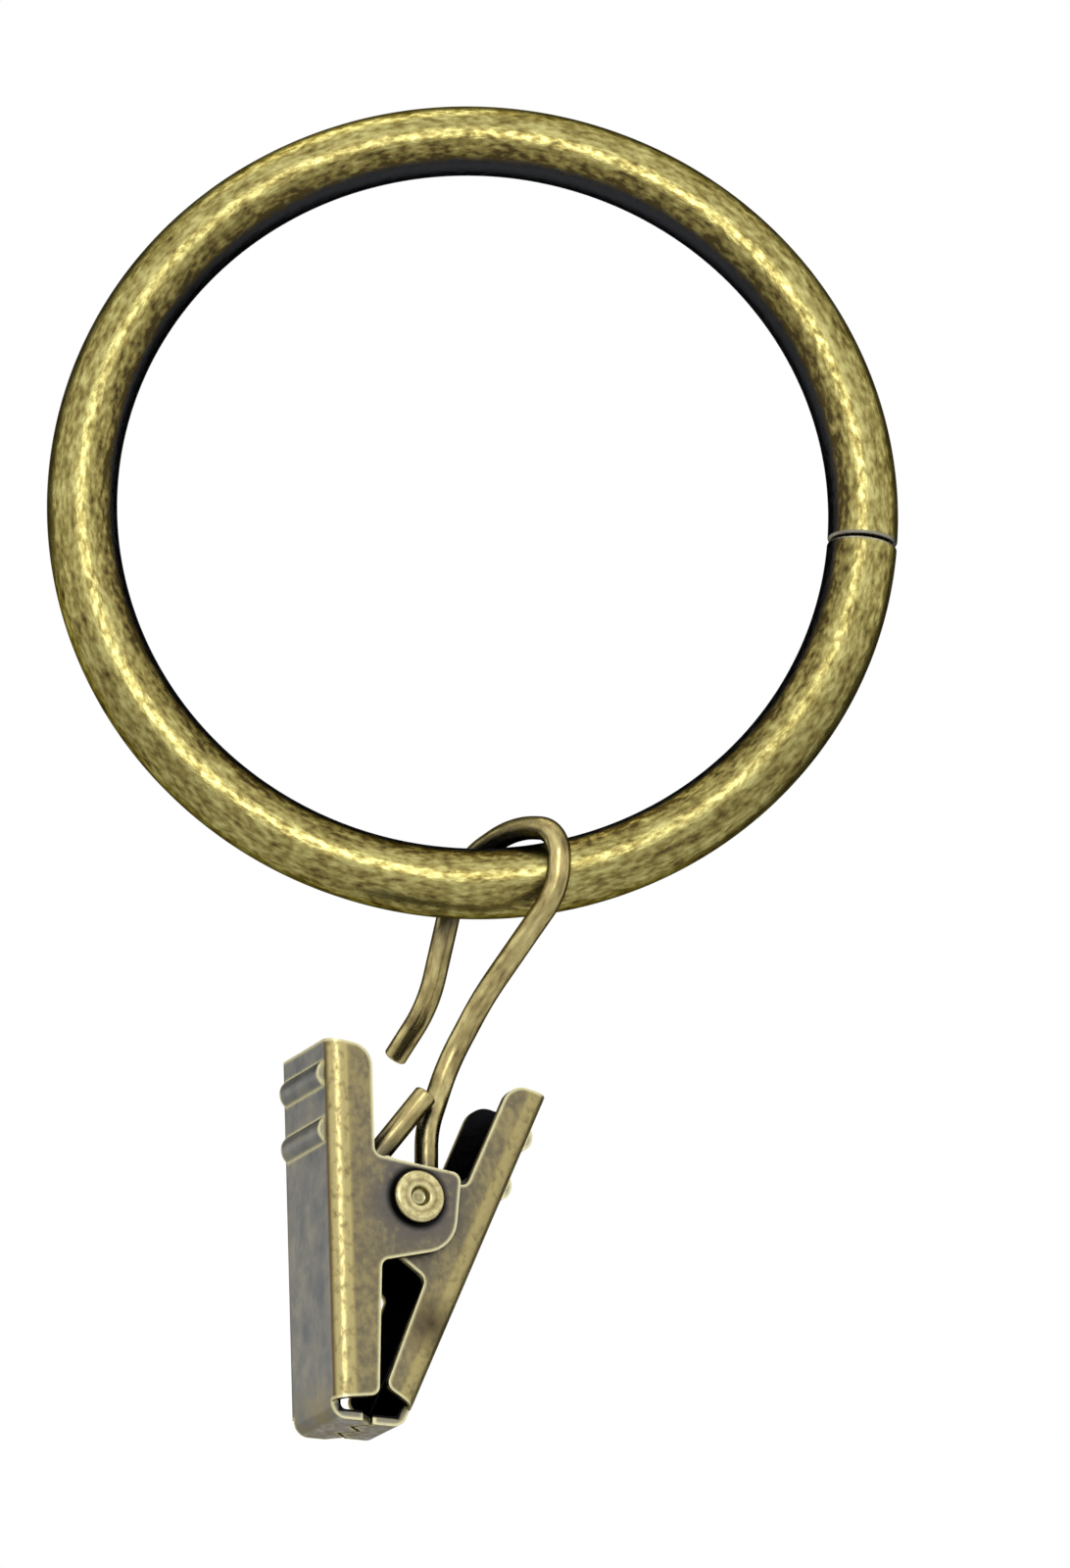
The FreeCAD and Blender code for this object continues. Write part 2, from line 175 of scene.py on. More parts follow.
def mesh_of_wire(name, points, along, radius):
    """A piece from a wire's grid: its rows, then its two poles, with its faces and its map."""
    rows, around = points.shape[:2]
    vertices = np.concatenate([points[1:-1].reshape(-1, 3), points[0, :1], points[-1, :1]])
    mesh = bpy.data.meshes.new(name)
    mesh.from_pydata(vertices.tolist(), [], wire_faces(rows - 2, around))
    places = wire_map(along[1:-1], around, radius).astype(np.float32)
    mesh.uv_layers.new(name="wire_uv").uv.foreach_set("vector", places.ravel())
    mesh.polygons.foreach_set("use_smooth", np.ones(len(mesh.polygons), bool))
    mesh.update()
    piece = bpy.data.objects.new(name, mesh)
    bpy.context.collection.objects.link(piece)
    print(name, "faces:", len(mesh.polygons), "length:", along[-1])
    return piece


print("corners on the map of 3 rows of 8 points:", len(wire_map(np.arange(3) * MM, 8, MM)))

# %% [markdown]
# ## The ring
#
# The ring is a length of thick wire bent to a circle until its two ends butt. They are not
# welded, so a fine dark seam shows at one side, just below the middle. A torus would have no
# seam. Here the circle is a path that stops at each side of the seam, and the wire's grid
# follows it.

# %% Ring
RING_POINTS, RING_AROUND = 700, 72
ROD = np.array([0.0, 1.0, 0.0])


def ring_path():
    """Circle of the wire's centres, (R*cos(a), 0, -R*sin(a)), from one end of the wire to the other."""
    half_gap = SEAM_GAP / RING_RADIUS / 2
    angle = SEAM_ANGLE + np.linspace(half_gap, 2 * math.pi - half_gap, RING_POINTS)
    return np.stack([np.cos(angle), 0 * angle, -np.sin(angle)], axis=1) * RING_RADIUS


ring_grid = wire_surface(ring_path(), ROD, RING_WIRE / 2, SEAM_ROUND, RING_AROUND)
ring = mesh_of_wire("ring_wire", *ring_grid, RING_WIRE / 2)
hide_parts("ring")
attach(ring, "ring")

# %% [markdown]
# ## The clip's own frame
#
# The clip hangs turned about the vertical. Its places are easier to say in its own frame:
# p runs across the jaws, o along the rivet and q up. One small function turns such places
# into the scene's x, y and z.

# %% From the clip's frame to the scene
CLIP_DROP = 17.85 * MM
CLIP_ORIGIN = np.array([-4.18 * MM, 0.0, -RING_RADIUS - CLIP_DROP])
CLIP_YAW = math.radians(21.5)
CLIP_AXES = np.array([
    [math.cos(CLIP_YAW), math.sin(CLIP_YAW), 0.0],
    [-math.sin(CLIP_YAW), math.cos(CLIP_YAW), 0.0],
    [0.0, 0.0, 1.0],
])


def from_clip(places):
    """Scene places: the clip's origin plus p, o and q times the clip's three axes."""
    return CLIP_ORIGIN + np.asarray(places, float) @ CLIP_AXES


rivet_low, rivet_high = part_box("rivet")
print("clip's origin:", from_clip([0, 0, 0]), "rivet in the model:", (rivet_low + rivet_high) / 2)

# %% [markdown]
# ## The hook
#
# One thin wire makes the free leg, the crown that lies on the ring, the shank, and the eye
# round the clip's rivet. A maker bends it round pins, so it is straight runs joined by arcs,
# and a smooth spline would lose that look. The path is therefore worked out from a list of
# corners, each with the radius of its pin.

# %% The path of a bent wire
LEAST_IN_ARC, LEAST_IN_RUN = 4, 2


def straight_run(start, end, step):
    """Evenly spaced points start + (end - start)*x, x from 0 to 1, about one step apart."""
    return np.linspace(start, end, max(LEAST_IN_RUN, int(np.linalg.norm(end - start) / step)))


def rounded_path(corners, radii, step):
    """Points along straight runs joined by arcs, about one step apart.

    At a corner with turn t and radius r the arc starts r*tan(t/2) before the corner. With a
    the way in and n the unit vector towards the bend's centre, its points are
    start + r*(a*sin(x) + n*(1 - cos(x))), x from 0 to t.
    """
    pieces = []
    last = corners[0]
    for corner, after, radius in zip(corners[1:-1], corners[2:], radii[1:-1]):
        way_in = (corner - last) / np.linalg.norm(corner - last)
        way_out = (after - corner) / np.linalg.norm(after - corner)
        turn = math.acos(float(np.clip(way_in @ way_out, -1, 1)))
        start = corner - way_in * radius * math.tan(turn / 2)
        inward = way_out - way_in * (way_in @ way_out)
        inward /= np.linalg.norm(inward)
        angles = np.linspace(0, turn, max(LEAST_IN_ARC, int(radius * turn / step)))[:, None]
        arc = start + radius * (way_in * np.sin(angles) + inward * (1 - np.cos(angles)))
        pieces += [straight_run(last, start, step)[:-1], arc[:-1]]
        last = arc[-1]
    pieces.append(straight_run(last, corners[-1], step))
    return np.concatenate(pieces)


elbow = rounded_path(np.array([[0, 0, 0], [2, 0, 0], [2, 2, 0]], float), (0, 1, 0), 0.02)
elbow_length = np.linalg.norm(np.diff(elbow, axis=0), axis=1).sum()
print("length of a right bend:", elbow_length, "by its formula:", 2 + math.pi / 2)

# %% [markdown]
# ### Bends of the hook
#
# The hook is bent in two planes, and that is why the clip hangs turned. Each row of a list is
# a corner's place and its radius. The crown's are shares of the distance between the two
# wires' centres, because it has to fit round the ring's wire. The free leg's are steps down
# from the crown, and the shank's and the loose end's are places in the clip's frame.

# %% Bends of the hook
HOOK_WIRE = 1.25 * MM
HOOK_SEAT = 0.1 * MM
HOOK_PLACE = 1.78 * MM
CROWN = np.array([
    [-0.90, 0.97, 0.67, 1.50],
    [0.16, -0.17, 1.17, 2.20],
    [1.03, -1.11, 0.86, 0.70],
    [1.00, -1.08, -0.39, 1.50],
])
FREE_LEG = np.array([
    [-1.60, 1.72, -7.25, 6.0],
    [-1.71, 1.83, -2.43, 0.0],
]) * MM
SHANK = np.array([
    [4.15, -1.59, 11.50, 20.0],
    [2.85, 0.10, 8.10, 6.0],
    [1.62, 0.05, 4.40, 6.0],
]) * MM
LOOSE_END = np.array([
    [-1.50, -0.28, 2.45, 1.3],
    [1.10, -1.10, 6.00, 0.0],
]) * MM
print("rows of bends:", sum(len(bends) for bends in (CROWN, FREE_LEG, SHANK, LOOSE_END)))

# %% [markdown]
# ### The eye of the hook
#
# The eye goes round the rivet inside the clip, with a little play. Two corners below the
# rivet, as far to its left and right as down, make that turn when they are rounded.

# %% Corners of the hook
RIVET_RADIUS = 0.9 * MM
PIVOT_PLAY = 0.08 * MM
EYE_RADIUS = RIVET_RADIUS + PIVOT_PLAY + HOOK_WIRE / 2
EYE_BEND = 0.98 * EYE_RADIUS
EYE_PLACE = 0.8 * MM
EYE_TWIST = 0.25 * MM


def hook_corners():
    """Corners and radii of the hook's bends, from the free leg's end to the loose end."""
    spacing = (RING_WIRE + HOOK_WIRE) / 2 + HOOK_SEAT
    crown = CROWN[:, :3] * spacing + [HOOK_PLACE, 0, -RING_RADIUS]
    leg = crown[0] + np.cumsum(FREE_LEG[:, :3], axis=0)
    middle = np.array([0, -EYE_PLACE, 0])
    loop = from_clip([[EYE_RADIUS, -EYE_PLACE, -EYE_RADIUS],
                      [-EYE_RADIUS, -EYE_PLACE - EYE_TWIST, -EYE_RADIUS]])
    shank, end = from_clip(SHANK[:, :3] + middle), from_clip(LOOSE_END[:, :3] + middle)
    corners = np.concatenate([leg[::-1], crown, shank, loop, end])
    radii = np.concatenate([FREE_LEG[::-1, 3], CROWN[:, 3] * spacing, SHANK[:, 3],
                            [EYE_BEND, EYE_BEND], LOOSE_END[:, 3]])
    return corners, radii


print("corners of the hook:", len(hook_corners()[0]))

# %% [markdown]
# ### The hook's surface
#
# The grid of a wire needs a direction that the wire never runs along, or its section would
# flip there. For the hook that is a level one, square to the plane of the crown. The eye
# turns in the other plane and stays about 20 degrees away from it.

# %% Hook
HOOK_STEP = 0.12 * MM
HOOK_ROUND = 0.12 * MM
HOOK_AROUND = 36
HOOK_NORMAL = np.array([0.73, 0.68, 0.0])

hook_path = rounded_path(*hook_corners(), HOOK_STEP)
hook_grid = wire_surface(hook_path, HOOK_NORMAL, HOOK_WIRE / 2, HOOK_ROUND, HOOK_AROUND)
hook = mesh_of_wire("hook_wire", *hook_grid, HOOK_WIRE / 2)
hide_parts("hook")
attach(hook, "hook")

# %% [markdown]
# ## Sizes of the jaws
#
# Each jaw is a channel folded from thin sheet: a web with a cheek at each side. The inner
# one nests in the outer one. Their meshes come from the model, but the spring has to reach
# their webs, and the finishes have to know where a web or a cheek is. A reach is the distance
# from the rivet's axis to the back of a web, and a lean is the web's angle from upright.

# %% Sizes of the jaws
SHEET = 0.5 * MM
NEST_GAP = 0.12 * MM
OUTER_HALF_WIDTH = 3.3 * MM
INNER_HALF_WIDTH = OUTER_HALF_WIDTH - SHEET - NEST_GAP
OUTER_REACH, OUTER_LEAN = 4.8 * MM, math.radians(2.0)
INNER_REACH, INNER_LEAN = 4.6 * MM, math.radians(23.5)
print("jaws across:", 2 * OUTER_HALF_WIDTH, 2 * INNER_HALF_WIDTH)

# %% [markdown]
# ## The spring
#
# A torsion spring sits round the rivet inside the clip. Its arms press the two handles
# apart, which keeps the lips shut. Its line is a helix with a straight arm at each end, each
# arm leaving the helix smoothly towards the web that it presses on.

# %% Path of the spring
SPRING_WIRE = 0.5 * MM
SPRING_PLAY = 0.1 * MM
SPRING_PITCH = 0.55 * MM
SPRING_TURNS = 2
SPRING_PLACE = 0.2 * MM
SPRING_ARM = 4.6 * MM
COIL_POINTS, ARM_POINTS = 160, 30


def spring_foot(side, reach, lean):
    """Place p, q of an arm's end: u inward from the web and v up it, turned by the lean."""
    u, v = SHEET - reach + SPRING_WIRE / 2 + SPRING_PLAY / 2, SPRING_ARM
    return np.array([side * (u * math.cos(lean) - v * math.sin(lean)),
                     u * math.sin(lean) + v * math.cos(lean)])


def spring_path():
    """Arm, helix (r*cos(a), k*a, r*sin(a)) and arm, and how far the helix rises.

    A straight line from a foot at the distance d touches the circle at the foot's own angle
    plus or minus acos(r/d), so the coil starts and ends there.
    """
    radius = RIVET_RADIUS + SPRING_PLAY + SPRING_WIRE / 2
    feet = [spring_foot(1, OUTER_REACH, OUTER_LEAN), spring_foot(-1, INNER_REACH, INNER_LEAN)]
    touch = [math.atan2(foot[1], foot[0]) + way * math.acos(radius / np.hypot(*foot))
             for foot, way in zip(feet, (1, -1))]
    total = touch[1] - touch[0] + 2 * math.pi * (SPRING_TURNS + 1)
    turned = np.linspace(0, total, COIL_POINTS)
    rise = SPRING_PITCH / (2 * math.pi)
    coil = np.stack([radius * np.cos(touch[0] + turned), SPRING_PLACE + rise * turned,
                     radius * np.sin(touch[0] + turned)], axis=1)
    first = np.array([feet[0][0], SPRING_PLACE, feet[0][1]])
    last = np.array([feet[1][0], SPRING_PLACE + rise * total, feet[1][1]])
    arm_in = np.linspace(first, coil[0], ARM_POINTS)[:-1]
    arm_out = np.linspace(coil[-1], last, ARM_POINTS)[1:]
    return from_clip(np.concatenate([arm_in, coil, arm_out])), rise * total


spring_line, spring_rise = spring_path()
print("spring rises along the rivet by:", spring_rise)

# %% [markdown]
# ### The spring's surface
#
# Neither the coil nor an arm runs along the direction used here, which lies between the rivet's and
# upright. One arm rests on each jaw, so the coil winds up as the clip opens. The surface is fixed where
# it stands and follows neither jaw.

# %% Spring
SPRING_AROUND = 18
SPRING_ROUND = 0.04 * MM
SPRING_NORMAL = CLIP_AXES[1] + 0.2 * CLIP_AXES[2]

spring_grid = wire_surface(spring_line, SPRING_NORMAL, SPRING_WIRE / 2, SPRING_ROUND, SPRING_AROUND)
spring = mesh_of_wire("spring_wire", *spring_grid, SPRING_WIRE / 2)
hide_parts("spring")
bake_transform(spring)

# %% [markdown]
# ## Materials
#
# Antique brass is a brass plating that is blackened in a bath and then tumbled or brushed, so
# that the black stays in hollows and rubs off on edges. One even colour would look like
# paint. Here each material is one metal whose colours are mixed by procedural patterns, as a
# tree of nodes that is made in code. A few small helpers keep that readable.


# %% Helpers for nodes
def new_material(name):
    """A material with nodes, its tree and its shader."""
    material = bpy.data.materials.new(name)
    material.use_nodes = True
    return material, material.node_tree, material.node_tree.nodes["Principled BSDF"]


def add(tree, kind, inputs=None, **settings):
    """A node of a kind, its settings, and its inputs by name or number, as values or as links."""
    node = tree.nodes.new(kind)
    for key, value in settings.items():
        setattr(node, key, value)
    for key, value in (inputs or {}).items():
        if isinstance(value, bpy.types.NodeSocket):
            tree.links.new(value, node.inputs[key])
        else:
            node.inputs[key].default_value = value
    return node


def calculate(tree, operation, first, second=0.0):
    """One step of arithmetic with one or two numbers, such as first + second for ADD."""
    return add(tree, "ShaderNodeMath", {0: first, 1: second}, operation=operation).outputs[0]


def times(tree, *factors):
    """The product of all the factors, from the first to the last."""
    product = factors[0]
    for factor in factors[1:]:
        product = calculate(tree, "MULTIPLY", product, factor)
    return product


def ramp(tree, value, low, high):
    """(value - low) / (high - low), held between 0 and 1. A low above high turns it round."""
    node = add(tree, "ShaderNodeMapRange", {"Value": value, "From Min": low, "From Max": high})
    return node.outputs["Result"]


print("helpers for numbers: calculate, times, ramp")

# %% [markdown]
# ### Colours and patterns
#
# Noise is what speckles a plating. It needs a place to be worked out at: a wire takes its own
# map, so that the speckle follows each bend, and a folded jaw takes its place in space. Both
# are told in millimetres, so the same numbers give grains of the same size on each piece.

# %% Colours and patterns
MIX_FACTOR, MIX_FIRST, MIX_SECOND, MIX_COLOUR = 0, 6, 7, 2


def mix_colour(tree, factor, first, second):
    """The colour first*(1 - factor) + second*factor, by the colour sockets of a Mix node."""
    inputs = {MIX_FACTOR: factor, MIX_FIRST: first, MIX_SECOND: second}
    return add(tree, "ShaderNodeMix", inputs, data_type="RGBA").outputs[MIX_COLOUR]


def noise(tree, place, scale, detail):
    """Cloudy values about 0.5: a sum of layers of noise, the first with scale grains per millimetre."""
    inputs = {"Vector": place, "Scale": scale, "Detail": detail}
    return add(tree, "ShaderNodeTexNoise", inputs).outputs["Fac"]


def place_on(tree, stretch, uv_name=""):
    """Place in millimetres times the stretch: on a wire's own map, or in the object's space."""
    if uv_name:
        source = add(tree, "ShaderNodeUVMap", uv_map=uv_name).outputs["UV"]
        scale = stretch
    else:
        source = add(tree, "ShaderNodeTexCoord").outputs["Object"]
        scale = tuple(share / MM for share in stretch)
    return add(tree, "ShaderNodeMapping", {"Vector": source, "Scale": scale}).outputs["Vector"]


print("helpers for patterns: mix_colour, noise, place_on")

# %% [markdown]
# ### Worn edges and dark hollows
#
# Rubbing takes the black off an edge and leaves it in a hollow. Painting each edge by hand would take
# long, so the nodes find them. Where the rounded normal of the Bevel node differs from the true one,
# there is an edge. Where the Ambient Occlusion node finds something close by, there is a hollow. Its
# darkening is partly that black and partly painted shade, where one part shades another.

# %% Worn edges and dark hollows
SAMPLES = 6
FLAT_TO_EDGE = (0.998, 0.955)
OPEN_TO_HOLLOW = (0.92, 0.5)
FRAY_STRENGTH = 0.8
FRAYED_BORDER = (0.35, 0.65)


def edge_wear(tree, radius):
    """0 on a face and 1 on an edge, from the dot product of the rounded and the true normal."""
    rounded = add(tree, "ShaderNodeBevel", {"Radius": radius}, samples=SAMPLES).outputs["Normal"]
    normal = add(tree, "ShaderNodeNewGeometry").outputs["Normal"]
    product = add(tree, "ShaderNodeVectorMath", {0: rounded, 1: normal}, operation="DOT_PRODUCT")
    return ramp(tree, product.outputs["Value"], *FLAT_TO_EDGE)


def patina_and_shade_hollow(tree, reach):
    """1 in corners and under overlaps and 0 in the open, for the unrubbed patina and for painted shade.
    """
    shade = add(tree, "ShaderNodeAmbientOcclusion", {"Distance": reach}, samples=SAMPLES)
    return ramp(tree, shade.outputs["AO"], *OPEN_TO_HOLLOW)


def frayed(tree, mask, grains):
    """mask + strength*(grains - 0.5), sharpened: its border is broken up and its middle whole."""
    uneven = times(tree, calculate(tree, "SUBTRACT", grains, 0.5), FRAY_STRENGTH)
    return ramp(tree, calculate(tree, "ADD", mask, uneven), *FRAYED_BORDER)


worn_angle = math.degrees(math.acos(FLAT_TO_EDGE[1]))
print("an edge is bare where its rounded normal is turned by degrees:", round(worn_angle, 1))

# %% [markdown]
# ### Gloss and relief
#
# All the finishes end alike: bare metal, smoother where the grains are pale, because that is where it
# was rubbed, and with the grains as a very shallow relief. A dark edge tint darkens every reflection at
# a glancing angle. It is partly the plating over its dark bath and partly a painted dark reflection that
# stands in for dark surroundings.

# %% Gloss and relief
GRAIN_LOW, GRAIN_HIGH = 0.35, 0.65
RELIEF_DEPTH = 0.06 * MM


def metal_shader(tree, shader, tone, grains, rough, bump, rim):
    """Roughness falls from rough[1] to rough[0] as the grains rise, and rim is the edge tint."""
    roughness = add(tree, "ShaderNodeMapRange", {
        "Value": grains, "From Min": GRAIN_LOW, "From Max": GRAIN_HIGH,
        "To Min": rough[1], "To Max": rough[0]})
    relief = add(tree, "ShaderNodeBump", {"Height": grains, "Strength": bump, "Distance": RELIEF_DEPTH})
    tree.links.new(tone, shader.inputs["Base Color"])
    tree.links.new(roughness.outputs["Result"], shader.inputs["Roughness"])
    tree.links.new(relief.outputs["Normal"], shader.inputs["Normal"])
    shader.inputs["Metallic"].default_value = 1.0
    shader.inputs["Specular Tint"].default_value = (*rim, 1)


print("relief of the grains:", RELIEF_DEPTH)

# %% [markdown]
# ### Wear of the ring
#
# The ring was tumbled: its outside is rubbed bright, and its inside, which nothing reached,
# stayed nearly black. So the finish has to know which side of the wire a place is on. Its
# distance from the ring's own axis tells that. The two cut ends show as a grey line.

# %% Wear of the ring
RUBBED_FROM, RUBBED_TO, RUBBED_LIFT = (-0.30, 0.10), (0.60, 0.15), 0.045
UNRUBBED, UNRUBBED_DROP = (-0.30, -0.95), 0.22
INSIDE_BORDER = (-0.58, -0.98)
END_GREY = (0.42, 0.40, 0.33, 1)
END_BORDER = 0.1


def ring_side(tree):
    """(sqrt(x^2 + z^2) - R) / r: -1 on the side of the wire towards the rod and 1 outside."""
    place = add(tree, "ShaderNodeTexCoord").outputs["Object"]
    flat = add(tree, "ShaderNodeVectorMath", {0: place, 1: (1, 0, 1)}, operation="MULTIPLY")
    length = add(tree, "ShaderNodeVectorMath", {0: flat.outputs["Vector"]}, operation="LENGTH")
    from_line = calculate(tree, "SUBTRACT", length.outputs["Value"], RING_RADIUS)
    return calculate(tree, "DIVIDE", from_line, RING_WIRE / 2)


def rubbed_mottle(tree, uneven, side):
    """The mottle, raised a little on the front band that was rubbed and lowered towards the rod."""
    rubbed = times(tree, ramp(tree, side, *RUBBED_FROM), ramp(tree, side, *RUBBED_TO))
    raised = calculate(tree, "ADD", uneven, times(tree, rubbed, RUBBED_LIFT))
    lowered = times(tree, ramp(tree, side, *UNRUBBED), UNRUBBED_DROP)
    return calculate(tree, "SUBTRACT", raised, lowered)


def wire_ends(tree, length):
    """1 where the way along is further from the wire's middle than half its length less the rounding."""
    place = add(tree, "ShaderNodeUVMap", uv_map="wire_uv").outputs["UV"]
    along = add(tree, "ShaderNodeSeparateXYZ", {"Vector": place}).outputs["X"]
    from_middle = calculate(tree, "ABSOLUTE", calculate(tree, "SUBTRACT", along, length / MM / 2))
    half = (length / 2 - SEAM_ROUND) / MM
    return ramp(tree, from_middle, half, half + END_BORDER)


print("grey at each end of the ring's wire:", SEAM_ROUND)

# %% [markdown]
# ### Metal of the wires
#
# A drawn wire is speckled evenly, and its marks run along it, so the pattern is stretched
# along the wire's map. Fine grains and wider blots are added up, and the sum picks a tone
# between dark, middle and bright. The ring and the hook are brass, and the spring is dark
# steel, which differs only in its three colours.

# %% Metal of the wires
TONE_LOW, TONE_MIDDLE, TONE_HIGH = 0.34, 0.48, 0.66
GRAIN_SHARE, BLOT_SHARE, BLOT_SCALE = 0.6, 0.4, 0.33
GRAIN_LAYERS, BLOT_LAYERS = 5.0, 3.0
# painted shade on the hook: how strongly it is blackened close to other parts
PAINTED_SHADE_STRENGTH = 0.9
# black of the ring's unrubbed inside, and of the painted shade on the hook
UNRUBBED_AND_SHADE_BLACK = (0.042, 0.043, 0.047, 1)
# edge tint: partly the dark plating, partly a painted dark reflection at glancing angles
WIRE_RIM = (0.10, 0.10, 0.08)


def wire_metal(name, tones, stretch, grain, ring_length=0.0, painted_shade_reach=0.0, rough=(0.24, 0.40), bump=0.4):
    """Mottled metal: 0.6 of fine grains and 0.4 of blots blend the dark, middle and bright tones.

    ring_length adds the ring's wear and grey ends. The shade reach, when given, paints shade: it
    blackens what lies that close to something else.
    """
    dark, middle, bright = tones
    material, tree, shader = new_material(name)
    fine = place_on(tree, stretch, "wire_uv")
    grains = noise(tree, fine, grain, GRAIN_LAYERS)
    blots = noise(tree, fine, grain * BLOT_SCALE, BLOT_LAYERS)
    uneven = calculate(tree, "ADD", times(tree, grains, GRAIN_SHARE), times(tree, blots, BLOT_SHARE))
    if ring_length:
        side = ring_side(tree)
        uneven = rubbed_mottle(tree, uneven, side)
    tone = mix_colour(tree, ramp(tree, uneven, TONE_LOW, TONE_MIDDLE), dark, middle)
    tone = mix_colour(tree, ramp(tree, uneven, TONE_MIDDLE, TONE_HIGH), tone, bright)
    if ring_length:
        inside = frayed(tree, ramp(tree, side, *INSIDE_BORDER), grains)
        tone = mix_colour(tree, inside, tone, UNRUBBED_AND_SHADE_BLACK)
        tone = mix_colour(tree, wire_ends(tree, ring_length), tone, END_GREY)
    # painted shade: the wire is blackened where it lies close to other parts
    if painted_shade_reach:
        tone = mix_colour(tree, times(tree, patina_and_shade_hollow(tree, painted_shade_reach), PAINTED_SHADE_STRENGTH), tone, UNRUBBED_AND_SHADE_BLACK)
    metal_shader(tree, shader, tone, grains, rough, bump, WIRE_RIM)
    print(name, "nodes:", len(tree.nodes))
    return material


print("share of fine grains in the mottle:", GRAIN_SHARE)

# %% [markdown]
# ### Finishes of the wires
#
# Each metal takes a dark, a middle and a bright tone, how its pattern is stretched and how fine its
# grains are. The hook's brass is paler than the ring's, and painted shade blackens it wherever it lies
# close to something else, as in the crook of its crown and inside the clip.

# %% Finishes of the wires
RING_TONES = ((0.08, 0.058, 0.02, 1), (0.30, 0.245, 0.075, 1), (0.62, 0.57, 0.22, 1))
HOOK_TONES = ((0.19, 0.145, 0.065, 1), (0.46, 0.37, 0.155, 1), (0.74, 0.64, 0.29, 1))
STEEL_TONES = ((0.01, 0.01, 0.01, 1), (0.05, 0.05, 0.05, 1), (0.16, 0.16, 0.17, 1))
RING_LENGTH = 2 * math.pi * RING_RADIUS - SEAM_GAP

RING_METAL = wire_metal("ring_brass", RING_TONES, (0.6, 1.4, 1.0), 2.8, ring_length=RING_LENGTH)
HOOK_METAL = wire_metal("hook_brass", HOOK_TONES, (0.4, 1.3, 1.0), 2.6, painted_shade_reach=3.5 * MM,
                        rough=(0.20, 0.32), bump=0.3)
SPRING_METAL = wire_metal("spring_steel", STEEL_TONES, (0.5, 1.4, 1.0), 3.0)

# %% [markdown]
# ### Brass of the jaws
#
# A jaw is stamped and folded before it is plated, and rubbed afterwards. Every cut edge is rubbed to
# pale brass. The outer bends are gold, partly rubbed brass and partly a painted highlight of their
# rounding, with a painted shadow line in brown where the back turns into them. The flat back and the
# ears round the rivet stay grey, and the inside of the channel is painted black as shade. A map of such
# places could be painted, but each can be said in the jaw's own measures: how deep from the back, how
# far from the middle along the rivet, how high above the lip and how far from the rivet's axis.


# %% Distances on a jaw
def distance_along(tree, direction, start):
    """How far a place lies along a direction from a start: the difference of their dot products."""
    place = add(tree, "ShaderNodeTexCoord").outputs["Object"]
    product = add(tree, "ShaderNodeVectorMath", {0: place, 1: tuple(direction)}, operation="DOT_PRODUCT")
    return calculate(tree, "SUBTRACT", product.outputs["Value"], float(np.dot(direction, start)))


def distance_across(tree, p, q):
    """sqrt(right^2 + up^2) from a line that runs along the rivet's way through p and q."""
    right = distance_along(tree, CLIP_AXES[0], from_clip([p, 0, 0]))
    up = distance_along(tree, CLIP_AXES[2], from_clip([0, 0, q]))
    squares = calculate(tree, "ADD", times(tree, right, right), times(tree, up, up))
    return calculate(tree, "SQRT", squares)


print("distances start at:", CLIP_ORIGIN)

# %% [markdown]
# ### Places on a jaw
#
# A mask is a distance drawn out between two values, where it is 0 and where it is 1. The
# pairs below are those two values, as shares of the length that each goes with, such as the
# bend's width or the sheet's thickness. Masks that are multiplied are 1 only where all are.

# %% Places on a jaw
BEND = 0.8 * MM
# borders of the cheeks, of the painted shadow line beside each bend, and of the gold on the bend
CHEEK_BORDER, BEND_SHADOW_BORDER, GOLD_BORDER = (0.8, 0.5), (0.95, 0.7), (0.65, 0.4)
BACK_DEPTH, BACK_BORDER = 1.1 * MM, (1.1, 0.9)
NOSE_DROP, LIP_THICKNESS = 11.9 * MM, 0.7 * SHEET
INSIDE_BORDERS, LIP_BORDER, UNDER_BORDER = (0.5, 0.8), (-0.1, 0.1), (-0.45, -0.65)
FOOT_HEIGHT, FOOT_FADE = 2.2 * MM, (1, 0)
EAR_GREY, EAR_FADE, EAR_DEPTH = 4.4 * MM, (1, 0.4), (1, 2)
RIVET_HEAD_RADIUS = 1.4 * MM
# painted shadow: a black ring on the jaw round the rivet's head
RIVET_SHADOW_WIDTH, RIVET_SHADOW_FADE = 0.45 * MM, (1, 0.3)
STAIN_PLACE = (1.1 * MM, -6.5 * MM)
STAIN_RADIUS, STAIN_FADE = 2.0 * MM, (1, 0)


def between(tree, value, unit, shares, start=0.0, way=1):
    """A value drawn out from start + way*unit*shares[0], 0, to start + way*unit*shares[1], 1."""
    return ramp(tree, value, start + way * unit * shares[0], start + way * unit * shares[1])


